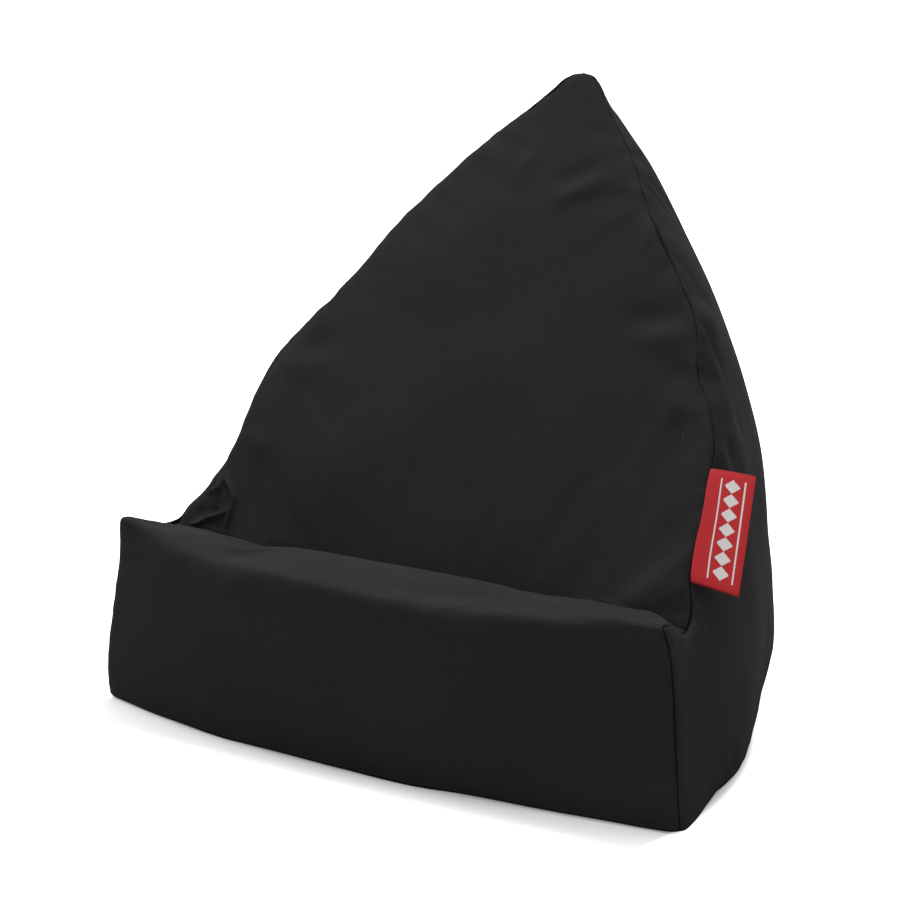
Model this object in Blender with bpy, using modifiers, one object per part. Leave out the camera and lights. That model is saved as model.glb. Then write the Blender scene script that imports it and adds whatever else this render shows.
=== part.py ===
"""Tablet cushion stand: a sewn cloth cover round a filling of beads, with a ledge in front.

The cover is drawn as one coarse closed form, smoothed by a Subdivision Surface. Its sewn panels
are cut from that form and given the cloth's thickness, the filling is the same form set in by
the cloth, and the label is a folded tape whose ends are held in the right side seam.
Metres, +Z up, front towards -Y. The origin is on the floor, in the middle of the depth.
"""
import math

import bmesh
import bpy
from mathutils import Matrix, Vector

# The foot, on the floor
BASE_WIDTH = 0.286
BASE_DEPTH = 0.205
BASE_ROUNDNESS = 1.5

# The backrest, from the valley up to the blunt tip. Setbacks are behind the front corners' line
APEX_HEIGHT = 0.261
APEX_SETBACK = 0.144
TIP_WIDTH = 0.016
ARCH_WIDTH = 0.242
ARCH_POWER = 1.95
BACKREST_CROWN = 0.004

# The ledge in front, whose ears stand out past the backrest's foot on both sides
EAR_OVERHANG = 0.0125
SHOULDER_OVERHANG = 0.004
EAR_WIDTH = ARCH_WIDTH + 2 * EAR_OVERHANG
SHOULDER_WIDTH = EAR_WIDTH + 2 * SHOULDER_OVERHANG
LEDGE_HEIGHT = 0.077
EAR_SETBACK = 0.001
LEDGE_BULGE = 0.017
LEDGE_BELLY = 0.004
LEDGE_FULLNESS = 3.0
RIDGE_ROUND = 0.012
RIDGE_SAG = 0.002
VALLEY_SETBACK = 0.033
VALLEY_DEPTH = 0.009
VALLEY_END_FLARE = 0.005
VALLEY_END_RISE = 0.006
VALLEY_END_STEP = 0.005

# The sides and the rear, which the two side panels share
REAR_BELLY = 0.021
REAR_POWER = 1.15
TOP_ROUNDNESS = 1.8
REAR_ROUNDNESS = 2.3
REAR_VALLEY_HEIGHT = 0.085
REAR_LEDGE_SHARE = 0.75

# The cloth and what it holds
CLOTH = 0.001
SEAM_CLEARANCE = 0.0004
FILLING_CLEARANCE = 0.0003

# The label: a tape folded double, its two ends sewn into the right side seam
LABEL_LENGTH = 0.051
LABEL_REACH = 0.020
LABEL_TAPE = 0.0005
LABEL_FOLD_GAP = 0.0004
LABEL_CLEARANCE = 0.001
LABEL_HEIGHT = 0.103
LABEL_SPLAY = 37
LABEL_STEPS = 8
STRAIGHT_STEPS = 4
FOLD_STEPS = 4

# The coarse cage: cells across the front, along each side and up the height
CELLS_ACROSS = 4
CELLS_DEEP = 2
ROW_CORNER = 0
ROW_BELLY = 1
ROW_SHOULDER = 2
ROW_RIDGE = 3
ROW_VALLEY = 4
ROW_TOP = 8
SMOOTHING = 2
FITTING_PASSES = 8
MITRE_LIMIT = 2.5
FLAT_FACES = 0.02
MERGE_DISTANCE = 0.0001
SHARP_ANGLE = 40
REAR_SAMPLES = 40

# The cover's panels, in the order of the form's material slots
PANELS = ("ledge_panel", "backrest_panel", "right_side_panel", "left_side_panel", "base_panel")
LEDGE, BACKREST, RIGHT_SIDE, LEFT_SIDE, BASE = range(len(PANELS))

PART_NAME = "tablet_cushion_stand"
CLOTH_COLOUR = (37, 37, 39)
CLOTH_ROUGHNESS = 0.85
BEAD_COLOUR = (232, 232, 226)
BEAD_ROUGHNESS = 0.9
LABEL_COLOUR = (190, 46, 52)
LABEL_ROUGHNESS = 0.7


def clear_scene():
    """Remove every object that the file opened with."""
    for old in list(bpy.data.objects):
        bpy.data.objects.remove(old, do_unlink=True)


def new_collection(name):
    """Make a collection in the scene."""
    collection = bpy.data.collections.new(name)
    bpy.context.scene.collection.children.link(collection)
    return collection


def linear(channel):
    """Turn one 0 to 255 screen value into a linear one."""
    share = channel / 255
    if share <= 0.04045:
        return share / 12.92
    return ((share + 0.055) / 1.055) ** 2.4


def new_material(name, colour, roughness):
    """A Principled BSDF in one colour, with no metal in it."""
    material = bpy.data.materials.new(name)
    material.use_nodes = True
    shader = material.node_tree.nodes["Principled BSDF"]
    shader.inputs["Base Color"].default_value = (*[linear(channel) for channel in colour], 1)
    shader.inputs["Roughness"].default_value = roughness
    shader.inputs["Metallic"].default_value = 0
    return material


def mix(start, end, share):
    """The value that lies this share of the way from start to end."""
    return start + (end - start) * share


def seam_end(row):
    """Where a row of the form meets the right side seam."""
    if row <= ROW_SHOULDER:
        share = row / ROW_SHOULDER
        half_width = mix(BASE_WIDTH, SHOULDER_WIDTH, share) / 2
        return Vector((half_width, 0, (LEDGE_HEIGHT - RIDGE_ROUND) * share))
    if row == ROW_RIDGE:
        return Vector((EAR_WIDTH / 2, EAR_SETBACK, LEDGE_HEIGHT))
    climb = (row - ROW_VALLEY) / (ROW_TOP - ROW_VALLEY)
    valley = Vector((ARCH_WIDTH / 2, VALLEY_SETBACK - VALLEY_END_STEP,
                     LEDGE_HEIGHT - VALLEY_DEPTH + VALLEY_END_RISE))
    tip = Vector((TIP_WIDTH / 2, APEX_SETBACK, APEX_HEIGHT))
    point = valley.lerp(tip, climb)
    point.x = mix(tip.x, valley.x, 1 - climb ** ARCH_POWER)
    if row == ROW_VALLEY:
        point.x += VALLEY_END_FLARE
    return point


def middle(row):
    """Where a row of the form crosses the centre line in front."""
    shoulder = LEDGE_HEIGHT - RIDGE_ROUND
    valley = Vector((0, VALLEY_SETBACK, LEDGE_HEIGHT - VALLEY_DEPTH))
    if row <= ROW_SHOULDER:
        height = shoulder * row / ROW_SHOULDER
        belly = LEDGE_BELLY if row == ROW_BELLY else 0
        return Vector((0, -LEDGE_BULGE - belly, height))
    if row == ROW_RIDGE:
        return Vector((0, RIDGE_ROUND - LEDGE_BULGE, LEDGE_HEIGHT - RIDGE_SAG))
    climb = (row - ROW_VALLEY) / (ROW_TOP - ROW_VALLEY)
    tip = Vector((0, APEX_SETBACK, APEX_HEIGHT))
    slope = (tip - valley).normalized()
    outward = Vector((0, -slope.z, slope.y))
    return valley.lerp(tip, climb) + outward * BACKREST_CROWN * math.sin(math.pi * climb)


def front_point(across, row):
    """A point of the ledge or the backrest, across running from -1 to 1."""
    end = seam_end(row)
    point = middle(row).lerp(end, abs(across) ** LEDGE_FULLNESS)
    point.x = end.x * across
    return point


def rear_setback(height):
    """How far back the centre of the rear lies at a height."""
    share = height / APEX_HEIGHT
    lean = mix(APEX_SETBACK, BASE_DEPTH, 1 - share ** REAR_POWER)
    return lean + REAR_BELLY * math.sin(math.pi * math.sqrt(share))


def section_start(height):
    """Where the level section at a height starts in front, with the ledge blended in."""
    low = seam_end(ROW_VALLEY)
    rise = min(max((height - LEDGE_HEIGHT / 2) / LEDGE_HEIGHT, 0), 1)
    ease = rise * rise * (3 - 2 * rise)
    ledge = mix(BASE_WIDTH, SHOULDER_WIDTH, min(height / LEDGE_HEIGHT, 1)) / 2
    climb = max((height - low.z) / (APEX_HEIGHT - low.z), 0)
    arch = seam_end(ROW_VALLEY + climb * (ROW_TOP - ROW_VALLEY))
    return Vector((mix(ledge, arch.x, ease), arch.y * ease, height))


def rear_height(row):
    """How high a row of the form runs at the centre of the rear."""
    if row < ROW_VALLEY:
        return seam_end(row).z * REAR_LEDGE_SHARE
    return mix(REAR_VALLEY_HEIGHT, APEX_HEIGHT, (row - ROW_VALLEY) / (ROW_TOP - ROW_VALLEY))


def side_point(turn, row):
    """A point of the right side panel, turn running from 0 at its seam to 1 at the rear."""
    if turn == 0:
        return seam_end(row)
    angle = turn * math.pi / 2
    height = mix(rear_height(row), seam_end(row).z, (1 - turn) ** 3)
    start = section_start(height)
    roundness = mix(BASE_ROUNDNESS, TOP_ROUNDNESS, math.sqrt(height / APEX_HEIGHT))
    roundness = mix(roundness, REAR_ROUNDNESS, turn ** 2)
    along = math.sin(angle) ** (2 / roundness)
    inward = math.cos(angle) ** (2 / roundness)
    return Vector((start.x * inward, mix(start.y, rear_setback(height), along), height))


def base_point(column, line):
    """A point of the flat base: the front edge and the rear edge, with lines between them."""
    across = 2 * column / CELLS_ACROSS - 1
    front = front_point(across, ROW_CORNER)
    rear = outline_point(column, CELLS_DEEP, ROW_CORNER)
    return front.lerp(rear, line / CELLS_DEEP)


def outline_point(column, line, row):
    """A point on the form's sides or rear, from its place in the cage."""
    across = 2 * column / CELLS_ACROSS - 1
    if line == CELLS_DEEP:
        turn = 1 - abs(across) / 2
    else:
        turn = line / CELLS_DEEP / 2
    point = side_point(turn, row)
    if turn == 1:
        point.x = 0
    if across < 0:
        point.x = -point.x
    return point


def drawn_point(column, line, row):
    """The point of the cushion's surface that one corner of the cage stands for."""
    if line == 0 or row == ROW_TOP:
        return front_point(2 * column / CELLS_ACROSS - 1, row)
    if row == ROW_CORNER and line < CELLS_DEEP and 0 < column < CELLS_ACROSS:
        return base_point(column, line)
    return outline_point(column, line, row)


def split_cube(cage):
    """Cut a cube's faces into the cage's cells, one direction after the other."""
    for axis, cells in enumerate((CELLS_ACROSS, CELLS_DEEP, ROW_TOP)):
        along = [edge for edge in cage.edges
                 if abs(edge.verts[0].co[axis] - edge.verts[1].co[axis]) > 1]
        bmesh.ops.subdivide_edges(cage, edges=along, cuts=cells - 1, use_grid_fill=True)


def face_panel(middle_of_face):
    """Which panel a cage face belongs to, from its middle on the unshaped cube."""
    if middle_of_face.z < -0.99:
        return BASE
    if middle_of_face.y < -0.99:
        row = (middle_of_face.z + 1) / 2 * ROW_TOP
        return LEDGE if row < ROW_VALLEY else BACKREST
    return RIGHT_SIDE if middle_of_face.x > 0 else LEFT_SIDE


def cover_cage():
    """The coarse closed cage, its faces marked by panel and its seams creased."""
    cage = bmesh.new()
    bmesh.ops.create_cube(cage, size=2)
    split_cube(cage)
    lid = [face for face in cage.faces if face.calc_center_median().z > 0.99]
    bmesh.ops.delete(cage, geom=lid, context="FACES")
    for face in cage.faces:
        face.material_index = face_panel(face.calc_center_median())
    for vert in cage.verts:
        column = round((vert.co.x + 1) / 2 * CELLS_ACROSS)
        line = round((vert.co.y + 1) / 2 * CELLS_DEEP)
        row = round((vert.co.z + 1) / 2 * ROW_TOP)
        vert.co = drawn_point(column, line, row)
    bmesh.ops.remove_doubles(cage, verts=cage.verts, dist=MERGE_DISTANCE)
    crease = cage.edges.layers.float.new("crease_edge")
    for edge in cage.edges:
        panels = {face.material_index for face in edge.link_faces}
        if len(panels) > 1:
            edge[crease] = 1
    bmesh.ops.recalc_face_normals(cage, faces=cage.faces)
    mesh = bpy.data.meshes.new("cover_form")
    cage.to_mesh(mesh)
    cage.free()
    return mesh


def evaluated_mesh(body):
    """The object's mesh after its modifiers."""
    bpy.context.view_layer.update()
    depsgraph = bpy.context.evaluated_depsgraph_get()
    return bpy.data.meshes.new_from_object(body.evaluated_get(depsgraph))


def fit_cage(form):
    """Move the cage out until the smooth surface passes through all drawn points but the tip's."""
    drawn = [vert.co.copy() for vert in form.data.vertices]
    for _ in range(FITTING_PASSES):
        smooth = evaluated_mesh(form)
        for vert, point in zip(form.data.vertices, drawn):
            if point.z < APEX_HEIGHT - TIP_WIDTH:
                vert.co += point - smooth.vertices[vert.index].co
        bpy.data.meshes.remove(smooth)


def cover_form(guides):
    """The closed form that the panels, the filling and the label are cut from."""
    form = bpy.data.objects.new("cover_form", cover_cage())
    guides.objects.link(form)
    smooth = form.modifiers.new("smooth", "SUBSURF")
    smooth.levels = SMOOTHING
    smooth.render_levels = SMOOTHING
    fit_cage(form)
    form.hide_render = True
    form.display_type = "WIRE"
    return form


def faceted(form):
    """The form's smooth surface in triangles, the same ones for every layer cut from it."""
    mesh = evaluated_mesh(form)
    surface = bmesh.new()
    surface.from_mesh(mesh)
    bmesh.ops.triangulate(surface, faces=surface.faces, quad_method="SHORT_EDGE")
    surface.to_mesh(mesh)
    surface.free()
    return mesh


def set_in(vert, depth):
    """The place of a vertex moved inwards, as near as can be the same depth under each face."""
    spread = Matrix.Identity(3) * FLAT_FACES
    pull = Vector()
    for face in vert.link_faces:
        normal = face.normal
        spread += Matrix([normal * normal.x, normal * normal.y, normal * normal.z])
        pull += normal
    step = spread.inverted() @ pull * -depth
    if step.length > depth * MITRE_LIMIT:
        step.length = depth * MITRE_LIMIT
    return vert.co + step


def finish_part(name, surface, parts, stand, material):
    """Turn a bmesh into a named object of the part."""
    bmesh.ops.recalc_face_normals(surface, faces=surface.faces)
    bmesh.ops.triangulate(surface, faces=surface.faces, quad_method="SHORT_EDGE")
    mesh = bpy.data.meshes.new(name)
    surface.to_mesh(mesh)
    surface.free()
    mesh.materials.clear()
    mesh.materials.append(material)
    for polygon in mesh.polygons:
        polygon.material_index = 0
    mesh.shade_smooth()
    mesh.set_sharp_from_angle(angle=math.radians(SHARP_ANGLE))
    body = bpy.data.objects.new(name, mesh)
    body.parent = stand
    parts.objects.link(body)
    return body


def panel(index, form_mesh, parts, stand):
    """One sewn panel: its share of the form, with the cloth's thickness inside it."""
    cloth = bmesh.new()
    cloth.from_mesh(form_mesh)
    cloth.normal_update()
    inner_places = [set_in(vert, CLOTH) for vert in cloth.verts]
    source = cloth.verts.layers.int.new("source")
    for vert in cloth.verts:
        vert[source] = vert.index
    others = [face for face in cloth.faces if face.material_index != index]
    bmesh.ops.delete(cloth, geom=others, context="FACES")
    rim = {}
    for vert in cloth.verts:
        if vert.is_boundary:
            inside = sum((face.calc_center_median() for face in vert.link_faces), Vector())
            towards = inside / len(vert.link_faces) - vert.co
            rim[vert[source]] = towards.normalized() * SEAM_CLEARANCE / 2
    folded = bmesh.ops.extrude_face_region(cloth, geom=cloth.faces[:], use_keep_orig=True)
    for vert in folded["geom"]:
        if isinstance(vert, bmesh.types.BMVert):
            vert.co = inner_places[vert[source]]
    for vert in cloth.verts:
        vert.co += rim.get(vert[source], Vector())
    material = new_material(PANELS[index], CLOTH_COLOUR, CLOTH_ROUGHNESS)
    return finish_part(PANELS[index], cloth, parts, stand, material)


def bead_filling(form_mesh, parts, stand):
    """The filling: the whole form, set in by the cloth and a small clearance."""
    beads = bmesh.new()
    beads.from_mesh(form_mesh)
    beads.normal_update()
    places = [set_in(vert, CLOTH + FILLING_CLEARANCE) for vert in beads.verts]
    for vert, place in zip(beads.verts, places):
        vert.co = place
    material = new_material("bead_filling", BEAD_COLOUR, BEAD_ROUGHNESS)
    return finish_part("bead_filling", beads, parts, stand, material)


def backrest_seam(form_mesh):
    """The points of the right side seam beside the backrest, from the lowest to the highest."""
    form = bmesh.new()
    form.from_mesh(form_mesh)
    seam = []
    for vert in form.verts:
        if {BACKREST, RIGHT_SIDE} <= {face.material_index for face in vert.link_faces}:
            seam.append(vert.co.copy())
    form.free()
    return sorted(seam, key=lambda point: point.z)


def seam_point_at(seam, height):
    """The point of a rising seam at a height."""
    for low, high in zip(seam, seam[1:]):
        if height <= high.z:
            break
    return low.lerp(high, (height - low.z) / (high.z - low.z))


def label_directions(seam):
    """The label's three directions: along the seam, out from it, and through the tape."""
    step = LABEL_LENGTH / 3
    upper = seam_point_at(seam, LABEL_HEIGHT + step)
    lower = seam_point_at(seam, LABEL_HEIGHT - step)
    along = (upper - lower).normalized()
    sideways = Vector((1, 0, 0))
    sideways = (sideways - along * sideways.dot(along)).normalized()
    rearward = sideways.cross(along).normalized()
    if rearward.y < 0:
        rearward = -rearward
    splay = math.radians(LABEL_SPLAY)
    out = sideways * math.cos(splay) + rearward * math.sin(splay)
    return along, out, out.cross(along)


def tape_path():
    """The folded tape's path from its first sewn end, round the fold and back to the second."""
    fold_radius = (LABEL_TAPE + LABEL_FOLD_GAP) / 2
    straight = LABEL_REACH - fold_radius - LABEL_TAPE / 2
    path = [(straight * step / STRAIGHT_STEPS, -fold_radius) for step in range(STRAIGHT_STEPS + 1)]
    for step in range(1, FOLD_STEPS):
        angle = math.pi * step / FOLD_STEPS
        path.append((straight + fold_radius * math.sin(angle), -fold_radius * math.cos(angle)))
    path += [(reach, fold_radius) for reach, _ in reversed(path[:STRAIGHT_STEPS + 1])]
    return path


def side_label(form_mesh, parts, stand):
    """The label: a tape folded double, whose two ends are held in the right side seam."""
    seam = backrest_seam(form_mesh)
    along, out, through = label_directions(seam)
    path = tape_path()
    tape = bmesh.new()
    bmesh.ops.create_grid(tape, x_segments=LABEL_STEPS, y_segments=len(path) - 1, size=1)
    for vert in tape.verts:
        reach, side = path[round((vert.co.y + 1) / 2 * (len(path) - 1))]
        height = LABEL_HEIGHT + along.z * LABEL_LENGTH * vert.co.x / 2
        start = seam_point_at(seam, height) + out * LABEL_CLEARANCE
        vert.co = start + out * reach + through * side
    material = new_material("side_label", LABEL_COLOUR, LABEL_ROUGHNESS)
    label = finish_part("side_label", tape, parts, stand, material)
    thickness = label.modifiers.new("tape", "SOLIDIFY")
    thickness.thickness = LABEL_TAPE
    thickness.offset = 0
    return label


def build():
    """Model the whole part."""
    clear_scene()
    parts = new_collection(PART_NAME)
    guides = new_collection("guides")
    stand = bpy.data.objects.new(PART_NAME, None)
    parts.objects.link(stand)
    heights = [APEX_HEIGHT * step / REAR_SAMPLES for step in range(REAR_SAMPLES + 1)]
    rear_most = max(rear_setback(height) for height in heights)
    stand.location.y = (LEDGE_BULGE + LEDGE_BELLY - rear_most) / 2
    form = cover_form(guides)
    form.parent = stand
    form_mesh = faceted(form)
    for index in range(len(PANELS)):
        panel(index, form_mesh, parts, stand)
    bead_filling(form_mesh, parts, stand)
    side_label(form_mesh, parts, stand)
    bpy.data.meshes.remove(form_mesh)


build()
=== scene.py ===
"""Tablet cushion stand: the looks of a sewn black cushion filled with beads, and of its red label.

Metres, +Z up, front towards -Y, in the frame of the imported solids.
"""

import math

import bmesh
import bpy
import numpy as np
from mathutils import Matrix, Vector, noise
from mathutils.bvhtree import BVHTree
from mathutils.kdtree import KDTree


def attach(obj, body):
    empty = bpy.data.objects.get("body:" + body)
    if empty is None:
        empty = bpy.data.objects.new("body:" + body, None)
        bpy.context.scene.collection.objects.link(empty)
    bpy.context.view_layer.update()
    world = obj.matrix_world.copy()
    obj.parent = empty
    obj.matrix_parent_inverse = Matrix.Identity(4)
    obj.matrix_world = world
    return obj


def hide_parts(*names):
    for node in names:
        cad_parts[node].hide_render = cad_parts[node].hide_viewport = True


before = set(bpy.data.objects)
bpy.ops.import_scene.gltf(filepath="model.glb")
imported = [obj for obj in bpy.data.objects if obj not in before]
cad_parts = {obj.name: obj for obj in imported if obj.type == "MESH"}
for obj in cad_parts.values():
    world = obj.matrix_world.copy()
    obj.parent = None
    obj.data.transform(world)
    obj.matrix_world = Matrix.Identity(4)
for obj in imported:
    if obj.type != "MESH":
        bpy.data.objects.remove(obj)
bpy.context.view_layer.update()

# The cushion's form
# A bag of five panels of black cotton cloth, sewn inside out, turned and filled with foam beads.
# It starts as a copy of the filling, whose edges along the seams are found from the panels.
MM = 0.001
PANELS = ("ledge_panel", "backrest_panel", "right_side_panel", "left_side_panel", "base_panel")
LEDGE, BACKREST, RIGHT_SIDE, LEFT_SIDE, BASE = range(len(PANELS))
CLOTH_OVER_BEADS = 1.3 * MM
MERGE_DISTANCE = 0.01 * MM
ANY_ANGLE = math.pi
FORM_LEVELS = 2


def select_only(piece):
    """Make a piece the active one, and the only one selected."""
    bpy.ops.object.select_all(action="DESELECT")
    piece.select_set(True)
    bpy.context.view_layer.objects.active = piece


def apply_modifier(piece, kind, **settings):
    """Add a modifier with these settings, and apply it."""
    select_only(piece)
    modifier = piece.modifiers.new("step", kind)
    for name, value in settings.items():
        setattr(modifier, name, value)
    bpy.ops.object.modifier_apply(modifier=modifier.name)


def places(piece):
    """The places of a piece's vertices, one row each."""
    found = np.empty(len(piece.data.vertices) * 3)
    piece.data.vertices.foreach_get("co", found)
    return found.reshape(-1, 3)


def put(piece, found):
    """Put a piece's vertices in these places."""
    piece.data.vertices.foreach_set("co", found.ravel())
    piece.data.update()


def facing(piece):
    """The directions that a piece's vertices face, one row each."""
    found = np.empty(len(piece.data.vertices) * 3)
    piece.data.vertex_normals.foreach_get("vector", found)
    return found.reshape(-1, 3)


def mark_panels(piece):
    """Give each face the number of the cover's panel that lies nearest to it."""
    trees = []
    for name in PANELS:
        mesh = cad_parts[name].data
        corners = [vert.co for vert in mesh.vertices]
        trees.append(BVHTree.FromPolygons(corners, [face.vertices for face in mesh.polygons]))
    for face in piece.data.polygons:
        distances = [tree.find_nearest(face.center)[3] for tree in trees]
        face.material_index = distances.index(min(distances))


def mark_seams(piece):
    """Mark the edges where two panels meet as seams, and crease them."""
    shape = bmesh.new()
    shape.from_mesh(piece.data)
    crease = shape.edges.layers.float.new("crease_edge")
    for edge in shape.edges:
        edge.seam = len({face.material_index for face in edge.link_faces}) > 1
        edge[crease] = edge.seam
    shape.to_mesh(piece.data)
    shape.free()


cushion = bpy.data.objects.new("cushion_cover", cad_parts["bead_filling"].data.copy())
bpy.context.collection.objects.link(cushion)
cushion.data.materials.clear()
for panel in PANELS:
    cushion.data.materials.append(None)
select_only(cushion)
bpy.ops.object.mode_set(mode="EDIT")
bpy.ops.mesh.select_all(action="SELECT")
bpy.ops.mesh.remove_doubles(threshold=MERGE_DISTANCE)
bpy.ops.mesh.customdata_custom_splitnormals_clear()
bpy.ops.object.mode_set(mode="OBJECT")
mark_panels(cushion)
mark_seams(cushion)
bpy.ops.object.mode_set(mode="EDIT")
bpy.ops.mesh.select_all(action="SELECT")
bpy.ops.mesh.tris_convert_to_quads(face_threshold=ANY_ANGLE, shape_threshold=ANY_ANGLE, seam=True)
bpy.ops.mesh.faces_shade_smooth()
bpy.ops.object.mode_set(mode="OBJECT")
apply_modifier(cushion, "DISPLACE", strength=CLOTH_OVER_BEADS, mid_level=0)
apply_modifier(cushion, "SUBSURF", levels=FORM_LEVELS, render_levels=FORM_LEVELS)

# The slack in the form
# The beads have settled unevenly, so the sewn form leans out here and sinks in there.
# Each pull gives a place, how far it reaches and how far it goes there, all in millimetres.
PULLS = {
    "left ear": ((-133, -99, 78), 9, (-1.5, 0, 4)),
    "tip": ((0, 44, 260), 14, (0, 0, 3.6)),
    "left arch near the tip": ((-32, 26, 233), 28, (-1.8, 0, 0)),
    "left arch, high": ((-48, 10, 206), 16, (-1.8, 0, 0)),
    "left arch, upper": ((-82, -10, 172), 18, (2.4, 0, 0)),
    "left arch, lower": ((-104, -30, 142), 22, (-5.5, 0, 0)),
    "left arch at its foot": ((-116, -54, 102), 15, (2.3, 1, 0)),
    "left valley end": ((-121, -74, 77), 10, (-4, -3, -1.5)),
    "left seam behind the valley": ((-126, -67, 79), 7, (0, 0, 1.8)),
    "ledge's top, left": ((-74, -84, 78), 24, (0, 0, -5)),
    "ledge's top, right": ((88, -78, 75), 20, (0, 0, 2.5)),
    "ledge's far edge, right": ((111, -77, 75), 10, (0, 0, 2)),
    "ledge's edge, middle": ((-5, -112, 68), 36, (0, -1, 2.5)),
    "right seam at the tip": ((24, 33, 241), 16, (-2, -1, 0)),
    "right seam below the tip": ((50, 14, 212), 18, (-3, -1.2, 0)),
    "right seam, upper": ((86, -2, 171), 16, (2.5, 3, 0)),
    "right seam at the bend": ((98, -18, 153), 9, (-3, 0, 0)),
    "right seam, lower": ((105, -21, 133), 24, (3.5, 5, 0)),
    "right seam at the label": ((111, -30, 127), 13, (3, 0, 0)),
    "right seam behind the label": ((116, -42, 106), 15, (2.8, 0, 0)),
    "right seam at its foot": ((124, -66, 76), 7, (2.4, 0, 0)),
    "right valley end": ((124, -74, 74), 13, (0, 0, -7)),
    "right valley's low end": ((128, -78, 70), 6, (-1, 0, -2.5)),
    "backrest's foot, right": ((104, -66, 80), 12, (0, -4, -1)),
    "right side, upper": ((60, 26, 206), 42, (-2.6, -0.4, 0)),
    "right side, middle": ((90, 42, 104), 36, (3, 2, 0)),
    "right side, lower": ((108, 22, 38), 32, (-1.6, -1, 0)),
    "right side, back": ((99, 38, 42), 26, (-1.8, -0.6, 0)),
    "right foot": ((134, -60, 3), 16, (-1.8, 0, 0)),
    "left foot": ((-141, -99, 20), 38, (-4.4, 0, 0)),
    "front left foot": ((-85, -109, 2), 40, (-1, -1.5, 0)),
    "front foot": ((10, -117, 2), 70, (0, -4.5, 0)),
    "front foot, right": ((108, -109, 4), 24, (0, -4, 0)),
    "front right corner": ((141, -99, 3), 22, (4.6, -7, 0)),
}


def pull(piece, place, reach, move):
    """Draw the cloth round a place along, less and less away from it."""
    found = places(piece)
    away = np.linalg.norm(found - np.array(place) * MM, axis=1) / (reach * MM)
    put(piece, found + np.exp(-away ** 2)[:, None] * np.array(move) * MM)


for place, reach, move in PULLS.values():
    pull(cushion, place, reach, move)

# The filling's pressure
# The beads press the panels out between the seams, while the sewn edges, shorter than the cloth,
# hold them in and gather it. The underside stays flat on the floor.
PRESSURE = 4
FRAMES = 20
SEAM_GATHER = 0.03
SEAM_HOLD = 0.6
CLOTH_HOLD = 0.04
MOST_SWELL = 6 * MM


def seam_vertices(piece):
    """The numbers of the vertices that lie on a seam."""
    return sorted({number for edge in piece.data.edges if edge.use_seam for number in edge.vertices})


def panel_vertices(piece, panel):
    """The numbers of the vertices of one panel, its edges with them."""
    faces = [face for face in piece.data.polygons if face.material_index == panel]
    return sorted({number for face in faces for number in face.vertices})


def fill_with_beads(piece):
    """Let the cloth swell and gather under the filling's pressure."""
    start = places(piece)
    held = piece.vertex_groups.new(name="held")
    sewn = piece.vertex_groups.new(name="sewn")
    held.add(range(len(start)), CLOTH_HOLD, "REPLACE")
    held.add(seam_vertices(piece), SEAM_HOLD, "REPLACE")
    held.add(panel_vertices(piece, BASE), 1, "REPLACE")
    sewn.add(seam_vertices(piece), 1, "REPLACE")
    cloth = piece.modifiers.new("beads", "CLOTH")
    cloth.settings.use_pressure = True
    cloth.settings.uniform_pressure_force = PRESSURE
    cloth.settings.effector_weights.gravity = 0
    cloth.settings.vertex_group_mass = held.name
    cloth.settings.vertex_group_shrink = sewn.name
    cloth.settings.shrink_min = 0
    cloth.settings.shrink_max = SEAM_GATHER
    cloth.point_cache.frame_start = 1
    cloth.point_cache.frame_end = FRAMES
    for number in range(1, FRAMES + 1):
        bpy.context.scene.frame_set(number)
    select_only(piece)
    bpy.ops.object.modifier_apply(modifier=cloth.name)
    bpy.context.scene.frame_set(1)
    move = places(piece) - start
    length = np.linalg.norm(move, axis=1, keepdims=True)
    move *= np.minimum(1, MOST_SWELL / np.maximum(length, MERGE_DISTANCE))
    put(piece, start + move)
    piece.vertex_groups.clear()


fill_with_beads(cushion)

# The seams
# The panels' edges are turned in, so an upright seam is a thin groove between two rounded edges,
# and its thread gathers the cloth in short puckers across it. The groove fades out at the tip, and
# the seams at the floor and down in the valley only show as a dark line of painted shade, which
# the upright seams get too.
SEAM_STEPS = 6
SEAM_EDGE_PERCENT = 22
GROOVE_DEPTH = 1.5 * MM
GROOVE_WIDTH = 0.6 * MM
SHOULDER_DROP = 0.8 * MM
SHOULDER_WIDTH = 3.2 * MM
PUCKER_HEIGHT = 0.4 * MM
PUCKER_WIDTH = 7 * MM
PUCKER_SPACING = 6 * MM
EVEN_PASSES = 14
PLAIN_TIP = 18 * MM
# How much farther the seam seems at the tip and in the valley, which thins its line of painted shade there
TIP_THINNING = 3 * MM
VALLEY_THINNING = 0.3 * MM


def evenly_facing(piece):
    """The directions that the cloth faces, evened out so that a seam's two sides agree."""
    found = facing(piece)
    pairs = np.empty(len(piece.data.edges) * 2, int)
    piece.data.edges.foreach_get("vertices", pairs)
    first, second = pairs.reshape(-1, 2).T
    for step in range(EVEN_PASSES):
        total = found.copy()
        np.add.at(total, first, found[second])
        np.add.at(total, second, found[first])
        found = total / np.linalg.norm(total, axis=1, keepdims=True)
    return found


def seam_points(piece):
    """Points close together along the upright seams, the floor's and the one down in the valley."""
    base = set(panel_vertices(piece, BASE))
    valley = set(panel_vertices(piece, LEDGE)) & set(panel_vertices(piece, BACKREST))
    found = {"upright": [], "floor": [], "valley": []}
    for edge in piece.data.edges:
        if edge.use_seam:
            kind = "floor" if base.issuperset(edge.vertices) else "upright"
            kind = "valley" if valley.issuperset(edge.vertices) else kind
            start, end = (piece.data.vertices[number].co for number in edge.vertices)
            found[kind] += [start.lerp(end, step / SEAM_STEPS) for step in range(SEAM_STEPS)]
    return found


def nearest(points):
    """A tree that finds the nearest of these points."""
    tree = KDTree(len(points))
    for number, point in enumerate(points):
        tree.insert(point, number)
    tree.balance()
    return tree


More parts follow.
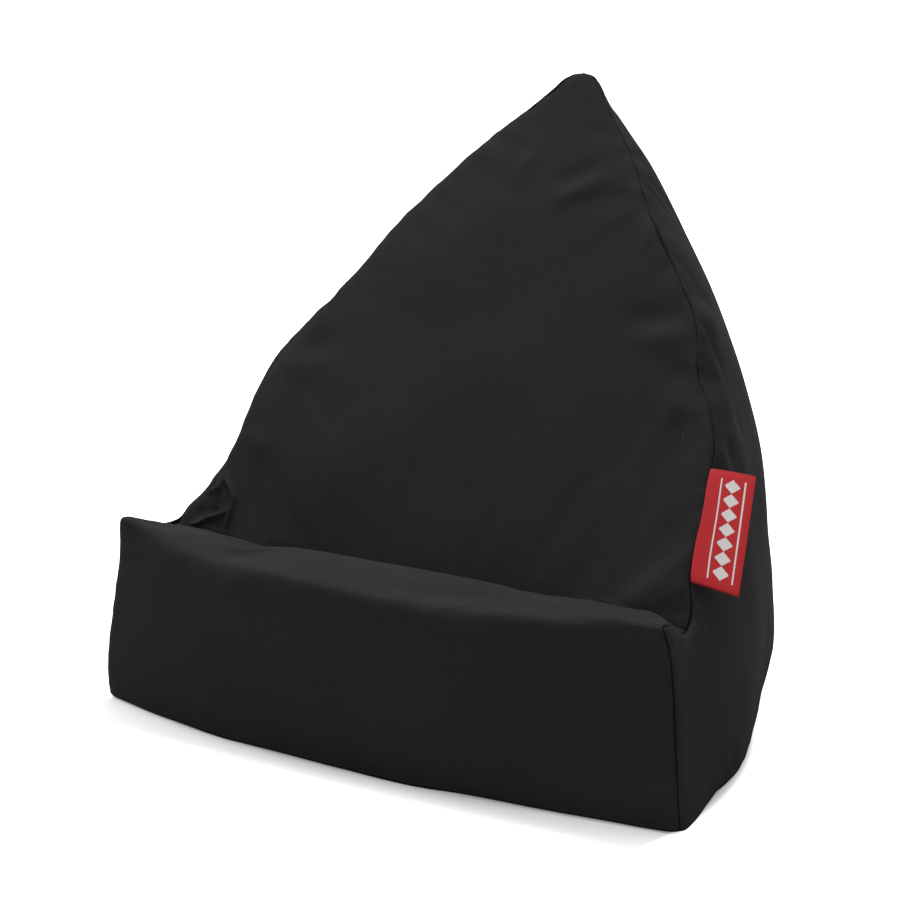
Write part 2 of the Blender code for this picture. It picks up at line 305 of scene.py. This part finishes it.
def wave(point, spacing, seed):
    """A smooth random height from -1 to 1, the same for the same place each time."""
    return noise.noise(Vector(point) / spacing + Vector((seed, 0, 0)))


seams = seam_points(cushion)
upright_seams = nearest(seams["upright"])
floor_seams = nearest(seams["floor"])
valley_seam = nearest(seams["valley"])
bpy.ops.object.mode_set(mode="EDIT")
bpy.ops.mesh.select_mode(type="EDGE")
bpy.ops.mesh.select_all(action="DESELECT")
bpy.ops.object.mode_set(mode="OBJECT")
for edge in cushion.data.edges:
    edge.select = edge.use_seam
bpy.ops.object.mode_set(mode="EDIT")
bpy.ops.mesh.bevel(offset_type="PERCENT", offset_pct=SEAM_EDGE_PERCENT, segments=2, affect="EDGES")
bpy.ops.object.mode_set(mode="OBJECT")
apply_modifier(cushion, "SUBSURF", levels=1, render_levels=1)

cloth = places(cushion)
tip = cloth[cloth[:, 2].argmax()]
plain = np.exp(-(np.linalg.norm(cloth - tip, axis=1) / PLAIN_TIP) ** 2)
outward = evenly_facing(cushion)
depth = np.zeros(len(cloth))
seam_shade_distance = np.zeros(len(cloth))
for number, point in enumerate(cloth):
    seam, _, distance = upright_seams.find(point)
    floor_distance = floor_seams.find(point)[2]
    valley_distance = valley_seam.find(point)[2] + VALLEY_THINNING
    seam_shade_distance[number] = min(distance, floor_distance, valley_distance)
    seam_shade_distance[number] += plain[number] * TIP_THINNING
    depth[number] += (1 - plain[number]) * GROOVE_DEPTH * math.exp(-(distance / GROOVE_WIDTH) ** 2)
    depth[number] += SHOULDER_DROP * math.exp(-(distance / SHOULDER_WIDTH) ** 2)
    beside = math.exp(-(distance / PUCKER_WIDTH) ** 2)
    depth[number] -= PUCKER_HEIGHT * beside * wave(seam, PUCKER_SPACING, 0)
put(cushion, cloth - outward * depth[:, None])
# Each vertex's distance from the nearest seam, which the cloth's painted shade follows
seam_shade_layer = cushion.data.attributes.new("seam", "FLOAT", "POINT")
seam_shade_layer.data.foreach_set("value", seam_shade_distance / MM)

# The folds
# Soft folds run in from the backrest's edges, where the seam draws the cloth in, and creases lie
# at the other edges, most of them where three panels meet at the ends of the ledge's valley.
# Each has the points of its line, its width and its height, all in millimetres.
FOLD_ENDS = (0.03, 0.97)
FOLD_PARTS = 5
# Points as seen from the front, to the right and up
BACKREST_FOLDS = (
    (((-14, 214), (-12, 225), (-8, 236)), 5, 1.0),
    (((2, 219), (14, 223), (28, 229)), 4, -1.1),
    (((4, 211), (16, 216), (30, 222)), 4, 1.2),
    (((48, 209), (62, 201), (73, 194)), 6, 0.9),
    (((56, 173), (72, 174), (88, 177)), 4.5, -1.2),
    (((62, 165), (76, 166), (93, 168)), 4.5, 1.4),
    (((80, 154), (92, 154), (102, 155)), 4, -1.0),
    (((86, 143), (96, 142), (106, 141)), 4, 1.2),
    (((-98, 150), (-86, 148), (-72, 149)), 5, -0.9),
    (((-104, 140), (-90, 138), (-76, 141)), 5, 1.0),
    (((-112, 110), (-100, 106), (-90, 107)), 5, 0.9),
)
# Points to the right, back and up
EDGE_FOLDS = (
    (((-120, -71, 73), (-118, -70, 73), (-115, -67, 75), (-111, -66, 77), (-106, -64, 80)), 1.1, 2.2),
    (((-114, -57, 93), (-109, -60, 90), (-105, -62, 86), (-104, -65, 79), (-105, -66, 71)), 1.2, 2.4),
    (((-114, -58, 92), (-114, -61, 88), (-114, -63, 85), (-112, -67, 80)), 1.1, 2.2),
    (((-114, -61, 88), (-118, -62, 86)), 1.1, 1.6),
    (((-109, -68, 74), (-103, -68, 72)), 4, -0.9),
    (((-116, -66, 80), (-119, -70, 78)), 3, -1.2),
    (((110, -77, 74), (122, -82, 74), (130, -92, 73)), 1.8, 1.2),
    (((104, -17, 141), (101, -2, 142), (96, 14, 141)), 5, 1.0),
    (((88, -6, 169), (87, 6, 171), (84, 20, 172)), 5, 0.9),
    (((93, -98, 76), (112, -99, 77), (131, -98, 78)), 2.2, 1.0),
    (((-131, -98, 78), (-118, -99, 77), (-104, -100, 76)), 2.2, 0.8),
)
# A fold narrower than this keeps its height nearly to its ends
CRISP_WIDTH = 3
CRISP_FADING = 0.5
FACES_FRONT = -0.5
LEDGE_TOP = 80 * MM
# The valley's two ends, where the mesh is made finer for the creases
FINE_PLACES = ((-111, -67, 80), (127, -82, 72))
FINE_REACH = 15
FINE_CUTS = 2
# The ledge's front edge, which stands a little up and forward where the beads have settled
LEDGE_EDGE = ((-131, -99, 76), (-100, -107, 70), (-68, -111, 69), (-30, -113, 67), (15, -114, 66),
              (54, -111, 69), (90, -108, 70), (130, -99, 75))
EDGE_LIFT = (0, -2.5, 4.3)
EDGE_WIDTH = 7
EDGE_FADING = 0.4
LUMP_HEIGHT = 0.8 * MM
LUMP_SPACING = 34 * MM


def fold_height(found, line, width, fading=1.0):
    """How high a fold along a line of points stands at each place, from 0 to 1."""
    line = np.array(line, float) * MM
    height = np.zeros(len(found))
    pieces = len(line) - 1
    for number in range(pieces):
        run = line[number + 1] - line[number]
        share = np.clip((found - line[number]) @ run / (run @ run), 0, 1)
        away = np.linalg.norm(found - line[number] - share[:, None] * run, axis=1)
        fade = np.sin(math.pi * np.clip((number + share) / pieces, *FOLD_ENDS)) ** fading
        height = np.maximum(height, fade * np.exp(-(away / (width * MM)) ** 2))
    return height


def on_cloth(tree, line):
    """Points along a line, each moved to the nearest place on the cloth."""
    line = [Vector(point) * MM for point in line]
    found = []
    for start, end in zip(line, line[1:]):
        found += [tree.find_nearest(start.lerp(end, step / FOLD_PARTS))[0] for step in range(FOLD_PARTS)]
    found.append(tree.find_nearest(line[-1])[0])
    return np.array(found) / MM


bpy.ops.object.mode_set(mode="EDIT")
bpy.ops.mesh.select_mode(type="FACE")
bpy.ops.mesh.select_all(action="DESELECT")
bpy.ops.object.mode_set(mode="OBJECT")
for face in cushion.data.polygons:
    face.select = any((face.center - Vector(place) * MM).length < FINE_REACH * MM for place in FINE_PLACES)
bpy.ops.object.mode_set(mode="EDIT")
bpy.ops.mesh.subdivide(number_cuts=FINE_CUTS)
bpy.ops.object.mode_set(mode="OBJECT")

cloth = places(cushion)
outward = evenly_facing(cushion)
bpy.context.view_layer.update()
cloth_tree = BVHTree.FromObject(cushion, bpy.context.evaluated_depsgraph_get())
lift = np.array([LUMP_HEIGHT * wave(point, LUMP_SPACING, 5) for point in cloth])
backrest_front = (outward[:, 1] < FACES_FRONT) * (cloth[:, 2] > LEDGE_TOP)
for line, width, height in BACKREST_FOLDS:
    lift += backrest_front * fold_height(cloth[:, [0, 2]], line, width) * height * MM
for line, width, height in EDGE_FOLDS:
    fading = CRISP_FADING if width < CRISP_WIDTH else 1.0
    lift += fold_height(cloth, on_cloth(cloth_tree, line), width, fading) * height * MM
edge_share = fold_height(cloth, on_cloth(cloth_tree, LEDGE_EDGE), EDGE_WIDTH, EDGE_FADING)
cloth += outward * lift[:, None] + edge_share[:, None] * np.array(EDGE_LIFT) * MM
cloth[:, 2] = np.maximum(cloth[:, 2], 0)
put(cushion, cloth)

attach(cushion, "root")
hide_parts(*PANELS, "bead_filling")

# The cloth
# Black cotton in plain weave, matt, with a short nap that catches light along the edges. Some
# threads are thicker than others, and a few specks of lint lie on it. Its colour is darkened
# along the seams as painted shade.
THREAD = 0.4 * MM
BACKREST_SLANT = 1.17
SLUBS_ACROSS = 900
SLUBS_ALONG = 40
CLOUD_SCALE = 22
GRAIN_SCALE = 900
LINT_SCALE = 80.0
LINT_SIZE = (0.05, 0.02)
LINT_SHARE = (0.80, 0.92)
# Painted shade along the seams: between these distances from a seam, in millimetres, the colour darkens
SEAM_SHADE_EDGE = (1.4, 0.5)
CLOTH_COLOUR = (0.0190, 0.0190, 0.0200, 1)
FADED_COLOUR = (0.0270, 0.0265, 0.0270, 1)
# The darkest painted shade, right in a seam
SEAM_SHADE_COLOUR = (0.0085, 0.0085, 0.0090, 1)
LINT_COLOUR = (0.10, 0.10, 0.10, 1)


class Shade:
    """An output of a material's nodes. Sums and products of shades add Math nodes."""

    def __init__(self, tree, socket=None):
        self.tree = tree
        self.socket = socket

    def node(self, kind, settings=None, sockets=None, output=0):
        """Add a node with these settings, then with these values or links in its sockets."""
        made = self.tree.nodes.new(kind)
        for name, value in (settings or {}).items():
            setattr(made, name, value)
        for name, value in (sockets or {}).items():
            if isinstance(value, Shade):
                self.tree.links.new(value.socket, made.inputs[name])
            else:
                made.inputs[name].default_value = value
        return Shade(self.tree, made.outputs[output])

    def maths(self, operation, first, second=0.0):
        """Add a Math node."""
        return self.node("ShaderNodeMath", {"operation": operation}, {0: first, 1: second})

    def parts(self):
        """The first two coordinates of a place."""
        split = self.node("ShaderNodeSeparateXYZ", None, {0: self}).socket.node
        return Shade(self.tree, split.outputs[0]), Shade(self.tree, split.outputs[1])

    def __add__(self, other):
        return self.maths("ADD", self, other)

    __radd__ = __add__

    def __sub__(self, other):
        return self.maths("SUBTRACT", self, other)

    def __mul__(self, other):
        return self.maths("MULTIPLY", self, other)

    __rmul__ = __mul__

    def __truediv__(self, other):
        return self.maths("DIVIDE", self, other)


def new_material(name, **constants):
    """A material and its shader node, with these values on the shader's own sockets."""
    material = bpy.data.materials.new(name)
    material.use_nodes = True
    shader = material.node_tree.nodes["Principled BSDF"]
    for socket, value in constants.items():
        shader.inputs[socket.replace("_", " ")].default_value = value
    return material, shader


def between(value, low, high):
    """How far a shade lies from low to high, smoothly, from 0 to 1."""
    settings = {"interpolation_type": "SMOOTHSTEP"}
    return value.node("ShaderNodeMapRange", settings, {"Value": value, "From Min": low, "From Max": high})


def mixed(share, first, second):
    """A colour that lies this share of the way from the first to the second."""
    settings = {"data_type": "RGBA"}
    return share.node("ShaderNodeMix", settings, {0: share, 6: first, 7: second}, output=2)


def mapped(coordinates, scale):
    """Coordinates stretched by these scales."""
    return coordinates.node("ShaderNodeMapping", None, {"Vector": coordinates, "Scale": scale})


def speckle(coordinates, scale, detail=2.0):
    """A smooth random shade from 0 to 1."""
    sockets = {"Vector": coordinates, "Scale": scale, "Detail": detail}
    return coordinates.node("ShaderNodeTexNoise", None, sockets)


def cloth_map(piece, panels):
    """Lay each panel out flat, in metres, as the UV map that the weave follows."""
    found = places(piece)
    x, y, z = found[:, 0], found[:, 1], found[:, 2]
    flat = {
        LEDGE: (x, z + y),
        BACKREST: (x, z * BACKREST_SLANT),
        RIGHT_SIDE: (y - x, z),
        LEFT_SIDE: (y + x, z),
        BASE: (x, y),
    }
    corners = np.empty(len(piece.data.loops), int)
    piece.data.loops.foreach_get("vertex_index", corners)
    sizes = np.empty(len(piece.data.polygons), int)
    piece.data.polygons.foreach_get("loop_total", sizes)
    panel_of_corner = np.repeat(panels, sizes)
    uv = np.zeros((len(corners), 2))
    for panel, (across, along) in flat.items():
        here = panel_of_corner == panel
        uv[here, 0] = across[corners[here]]
        uv[here, 1] = along[corners[here]]
    layer = piece.data.uv_layers.new(name="cloth")
    layer.data.foreach_set("uv", uv.ravel())


def black_cotton():
    """The cover's material."""
    material, shader = new_material("black_cotton", Sheen_Weight=0.02, Sheen_Roughness=0.3,
                                    Sheen_Tint=(0.9, 0.9, 0.95, 1), Specular_IOR_Level=0.08)
    start = Shade(material.node_tree)
    uv = start.node("ShaderNodeUVMap", {"uv_map": "cloth"})
    place = start.node("ShaderNodeTexCoord", output=3)
    across, along = uv.parts()
    turn = math.pi / THREAD
    warp = start.maths("SINE", across * turn)
    weft = start.maths("SINE", along * turn)
    weave = 0.5 + 0.5 * (warp * weft)
    upright_slubs = speckle(mapped(uv, (SLUBS_ACROSS, SLUBS_ALONG, 1)), 1)
    level_slubs = speckle(mapped(uv, (SLUBS_ALONG, SLUBS_ACROSS, 1)), 1)
    slubs = upright_slubs * 0.5 + level_slubs * 0.5
    clouds = speckle(place, CLOUD_SCALE, 4)
    grain = speckle(place, GRAIN_SCALE)
    faded = between(clouds * 0.5 + slubs * 0.5, 0.35, 0.65) * 0.6 + between(grain, 0.3, 0.7) * 0.4
    cells = start.node("ShaderNodeTexVoronoi", None, {"Vector": place, "Scale": LINT_SCALE})
    cell_colour = Shade(start.tree, cells.socket.node.outputs["Color"])
    chance = start.node("ShaderNodeSeparateColor", None, {0: cell_colour})
    lint = between(cells, *LINT_SIZE) * between(chance, *LINT_SHARE)
    colour = mixed(lint * 0.7, mixed(faded, CLOTH_COLOUR, FADED_COLOUR), LINT_COLOUR)
    # Painted shade: the colour darkens close to a seam, where the grooves and the valley lie in shade
    seam = start.node("ShaderNodeAttribute", {"attribute_name": "seam"}, output=2)
    colour = mixed(between(seam, *SEAM_SHADE_EDGE), colour, SEAM_SHADE_COLOUR)
    relief = weave * 0.08 + slubs * 0.12 + grain * 0.10 + lint * 0.3
    bump = start.node("ShaderNodeBump", None, {"Strength": 0.5, "Distance": 0.6 * MM, "Height": relief})
    start.tree.links.new(colour.socket, shader.inputs["Base Color"])
    start.tree.links.new((0.80 + faded * 0.12).socket, shader.inputs["Roughness"])
    start.tree.links.new(bump.socket, shader.inputs["Normal"])
    return material


panels = np.empty(len(cushion.data.polygons), int)
cushion.data.polygons.foreach_get("material_index", panels)
cloth_map(cushion, panels)
cushion.data.materials.clear()
cushion.data.materials.append(black_cotton())
cushion.data.polygons.foreach_set("material_index", np.zeros(len(panels), int))
cushion.data.update()

# The label
# A red woven tape, folded double, whose two ends are caught in the right side seam, so that it
# stands out like a small flag. A plain row of white diamonds is woven along its middle.
label_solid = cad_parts["side_label"]
TAPE = 0.5 * MM
FOLD_RADIUS = 0.45 * MM
TAPE_EDGE = 0.12 * MM
# How deep the tape's ends go into the seam, and how sharply they bend towards it
SEWN_IN = 2.0 * MM
SEWN_BEND = 2
FOLD_STEPS = 6
LABEL_CUTS = 14
LABEL_WARP = 0.7 * MM
WARP_TURN = 3
WARP_START = 0.6
# How far each corner is off the plain rectangle: along the seam and outwards, in millimetres
CORNER_SHIFTS = {
    "low inner": (3.5, 0),
    "low outer": (0, -2.6),
    "top inner": (0.2, 0),
    "top outer": (-1.2, 0.5),
}


def label_directions(solid):
    """The flat label's middle, its directions out, along and through, and its half sizes."""
    found = places(solid)
    centre = (found.min(axis=0) + found.max(axis=0)) / 2
    across = np.linalg.svd(found - found.mean(axis=0), full_matrices=False)[2]
    along, out = across[0], across[1]
    along = along if along[2] > 0 else -along
    out = out if out[0] > 0 else -out
    directions = np.array([out, along, np.cross(out, along)])
    far = (found - centre) @ directions.T
    low, high = far.min(axis=0), far.max(axis=0)
    return centre + (low + high) / 2 @ directions, directions, (high - low) / 2


label_middle, directions, (half_reach, half_length, _) = label_directions(label_solid)
inner = -half_reach - SEWN_IN
fold = half_reach - FOLD_RADIUS - TAPE / 2
bpy.ops.object.select_all(action="DESELECT")
bpy.ops.mesh.primitive_plane_add(size=1, location=(0, 0, 0))
label = bpy.context.object
label.name = "woven_label"
label.scale = (fold - inner, 2 * half_length, 1)
label.location = ((fold + inner) / 2, 0, -FOLD_RADIUS)
bpy.ops.object.transform_apply(location=True, rotation=True, scale=True)
bpy.ops.object.mode_set(mode="EDIT")
bpy.ops.mesh.subdivide(number_cuts=LABEL_CUTS)
bpy.ops.object.mode_set(mode="OBJECT")


def select_edges_at(piece, reach, height):
    """Select a flat piece's edges that lie at this reach and height."""
    corners = piece.data.vertices
    for edge in piece.data.edges:
        ends = [corners[number].co for number in edge.vertices]
        edge.select = all(abs(end.x - reach) < MERGE_DISTANCE and abs(end.z - height) < MERGE_DISTANCE
                          for end in ends)


def edit_edges(piece, reach, height):
    """Open a piece for editing with only the edges at this reach and height selected."""
    bpy.ops.object.mode_set(mode="EDIT")
    bpy.ops.mesh.select_mode(type="EDGE")
    bpy.ops.mesh.select_all(action="DESELECT")
    bpy.ops.object.mode_set(mode="OBJECT")
    select_edges_at(piece, reach, height)
    bpy.ops.object.mode_set(mode="EDIT")


edit_edges(label, fold, -FOLD_RADIUS)
bpy.ops.mesh.spin(steps=FOLD_STEPS, angle=-math.pi, center=(fold, 0, 0), axis=(0, 1, 0))
bpy.ops.object.mode_set(mode="OBJECT")
edit_edges(label, fold, FOLD_RADIUS)
back = (inner - fold) / (LABEL_CUTS + 1)
for step in range(LABEL_CUTS + 1):
    bpy.ops.mesh.extrude_region_move(TRANSFORM_OT_translate={"value": (back, 0, 0)})
bpy.ops.object.mode_set(mode="OBJECT")

flat = places(label)
layer = label.data.uv_layers.new(name="tape")
for loop in label.data.loops:
    layer.data[loop.index].uv = (flat[loop.vertex_index][1], flat[loop.vertex_index][0])
apply_modifier(label, "SOLIDIFY", thickness=TAPE, offset=0)
flat = places(label)
reach = (flat[:, 0] + half_reach) / (2 * half_reach)
climb = (flat[:, 1] + half_length) / (2 * half_length)
shares = {
    "low inner": (1 - reach) * (1 - climb),
    "low outer": reach * (1 - climb),
    "top inner": (1 - reach) * climb,
    "top outer": reach * climb,
}
bent = flat.copy()
for corner, share in shares.items():
    bent[:, 1] += share * CORNER_SHIFTS[corner][0] * MM
    bent[:, 0] += share * CORNER_SHIFTS[corner][1] * MM
bent[:, 2] += LABEL_WARP * np.clip(reach, 0, 1) * np.sin(WARP_TURN * climb + WARP_START)
in_place = bent @ directions + label_middle
seam_middle = upright_seams.find(np.array((inner, 0, 0)) @ directions + label_middle)[0]
beside_seam = np.linalg.norm(places(cushion) - np.array(seam_middle), axis=1) < half_length / 2
into_seam = -outward[beside_seam].mean(axis=0)
for number, (outwards, upwards, _) in enumerate(flat):
    inner_end = np.array((inner, upwards, 0)) @ directions + label_middle
    sewn_end = np.array(upright_seams.find(inner_end)[0]) + into_seam * SEWN_IN
    share = (1 - (outwards - inner) / (half_reach - inner)) ** SEWN_BEND
    in_place[number] += (sewn_end - inner_end) * share
put(label, in_place)
select_only(label)
bpy.ops.object.mode_set(mode="EDIT")
bpy.ops.mesh.select_all(action="SELECT")
bpy.ops.mesh.normals_make_consistent(inside=False)
bpy.ops.mesh.faces_shade_smooth()
bpy.ops.object.mode_set(mode="OBJECT")
apply_modifier(label, "BEVEL", width=TAPE_EDGE, segments=2, limit_method="ANGLE")
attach(label, "root")
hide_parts("side_label")

LABEL_RED = (0.62, 0.021, 0.027, 1)
LABEL_DARK_RED = (0.38, 0.008, 0.016, 1)
LABEL_WHITE = (0.86, 0.82, 0.82, 1)
LABEL_THREAD = 0.25 * MM
DIAMONDS = 7
DIAMOND_SPACING = 6.25 * MM
DIAMOND_HALF_LENGTH = 3.0 * MM
DIAMOND_HALF_WIDTH = 3.75 * MM
STRIPE_OFFSET = 5.5 * MM
STRIPE_HALF_WIDTH = 0.45 * MM
PATTERN_MIDDLE = 0.5 * MM
DARKER_EDGE_WIDTH = 1.2 * MM


def red_tape():
    """The label's material, with a row of diamonds between two thin stripes woven into it."""
    material, shader = new_material("red_woven_tape", Roughness=0.62, Sheen_Weight=0.05,
                                    Specular_IOR_Level=0.3)
    start = Shade(material.node_tree)
    uv = start.node("ShaderNodeUVMap", {"uv_map": "tape"})
    along, across = uv.parts()
    step_along = start.maths("SNAP", along, LABEL_THREAD)
    step_across = start.maths("SNAP", across, LABEL_THREAD)
    place = step_along / DIAMOND_SPACING + DIAMONDS / 2
    off = start.maths("ABSOLUTE", (place - start.maths("FLOOR", place) - 0.5) * DIAMOND_SPACING)
    aside = start.maths("ABSOLUTE", step_across - PATTERN_MIDDLE)
    within = start.maths("LESS_THAN", start.maths("ABSOLUTE", along), DIAMONDS / 2 * DIAMOND_SPACING)
    diamond = start.maths("LESS_THAN", off / DIAMOND_HALF_LENGTH + aside / DIAMOND_HALF_WIDTH, 1.0)
    stripe = start.maths("LESS_THAN", start.maths("ABSOLUTE", aside - STRIPE_OFFSET), STRIPE_HALF_WIDTH)
    white = within * start.maths("MAXIMUM", diamond, stripe)
    turn = math.pi / LABEL_THREAD
    ribs = 0.5 + 0.5 * start.maths("SINE", along * turn) * start.maths("SINE", across * turn)
    # The red darkens towards the tape's top and bottom edges
    edge = between(start.maths("ABSOLUTE", along), half_length - DARKER_EDGE_WIDTH, half_length)
    tone = speckle(mapped(uv, (300, 2500, 1)), 1) * 0.6 + ribs * 0.4
    red = mixed(edge * 0.6 + tone * 0.25, LABEL_RED, LABEL_DARK_RED)
    colour = mixed(white * 0.96, red, LABEL_WHITE)
    relief = ribs * 0.5 + white * 0.6
    bump = start.node("ShaderNodeBump", None, {"Strength": 0.4, "Distance": 0.2 * MM, "Height": relief})
    start.tree.links.new(colour.socket, shader.inputs["Base Color"])
    start.tree.links.new(bump.socket, shader.inputs["Normal"])
    return material


label.data.materials.clear()
label.data.materials.append(red_tape())

# The camera
# It stands where the photograph was taken from: 36 degrees to the right and a little above.
camera = bpy.data.objects.new("camera", bpy.data.cameras.new("camera"))
bpy.context.collection.objects.link(camera)
camera.data.lens = 127.2
camera.data.sensor_width = 36
camera.location = (0.7369, -1.0645, 0.3978)
camera.rotation_euler = (math.radians(77.4), 0, math.radians(36))
bpy.context.scene.camera = camera

# The studio
# A white floor that runs into a white background, an even light from all round, and a large soft
# lamp overhead that leaves a faint shadow under the cushion's edges. A little way out from the
# foot the floor's glow, painted light, covers that shadow.
EVEN_LIGHT = 0.5
world = bpy.data.worlds.new("studio")
world.use_nodes = True
bpy.context.scene.world = world
tree = world.node_tree
rays = tree.nodes.new("ShaderNodeLightPath")
seen = Shade(tree, rays.outputs["Is Camera Ray"])
around = tree.nodes["Background"]
around.inputs["Color"].default_value = (1, 1, 1, 1)
tree.links.new((EVEN_LIGHT + (1 - EVEN_LIGHT) * seen).socket, around.inputs["Strength"])

PAPER_COLOUR = (0.5, 0.5, 0.5, 1)
SEEN_PAPER_COLOUR = (0.86, 0.86, 0.86, 1)
# The camera sees the floor glow white, but only faintly next to the foot, so its shadow shows there
NEAR_GLOW = 0.22
FOOT_HALF_WIDTH = 0.143
FOOT_FRONT = 0.119
FOOT_WIDEST = 0.115
FOOT_DEPTH = 0.225
FOOT_ROUNDNESS = 1.33
# The edges beside and in front of the foot where the floor's painted glow sets in and cuts off its shadow
SHADOW_SIDE = (0.975, 1.03)
SHADOW_FRONT = (1.04, 1.28)
bpy.ops.object.select_all(action="DESELECT")
bpy.ops.mesh.primitive_plane_add(size=8, location=(0, 0, 0))
floor = bpy.context.object
floor.name = "floor"
white, shader = new_material("white_floor", Roughness=1.0, Specular_IOR_Level=0.0, Emission_Strength=1.0)
start = Shade(white.node_tree)
rays = white.node_tree.nodes.new("ShaderNodeLightPath")
seen = Shade(white.node_tree, rays.outputs["Is Camera Ray"])
place = start.node("ShaderNodeTexCoord", output=3)
x, y = place.parts()
back = start.maths("MAXIMUM", y + FOOT_WIDEST, 0.0) / FOOT_DEPTH
aside = start.maths("ABSOLUTE", x / FOOT_HALF_WIDTH)
beside = start.maths("POWER", aside, FOOT_ROUNDNESS) + back * back
before = y / -FOOT_FRONT
# Painted light: beyond these edges round the foot the glow rises to white and covers the shadow
clear = start.maths("MAXIMUM", between(beside, *SHADOW_SIDE), between(before, *SHADOW_FRONT))
painted_glow = seen * (NEAR_GLOW + (1 - NEAR_GLOW) * clear)
painted_glow_colour = mixed(painted_glow, (0, 0, 0, 1), (1, 1, 1, 1))
start.tree.links.new(mixed(seen, PAPER_COLOUR, SEEN_PAPER_COLOUR).socket, shader.inputs["Base Color"])
start.tree.links.new(painted_glow_colour.socket, shader.inputs["Emission Color"])
floor.data.materials.append(white)

lamp = bpy.data.objects.new("softbox", bpy.data.lights.new("softbox", "AREA"))
bpy.context.collection.objects.link(lamp)
lamp.data.shape = "RECTANGLE"
lamp.data.size = 1.6
lamp.data.size_y = 1.2
lamp.data.energy = 31
lamp.location = (-0.5, 0.3, 1.65)
lamp.rotation_euler = (Vector((0, 0, 0.1)) - lamp.location).to_track_quat("-Z", "Y").to_euler()

bpy.context.scene.view_settings.view_transform = "Standard"
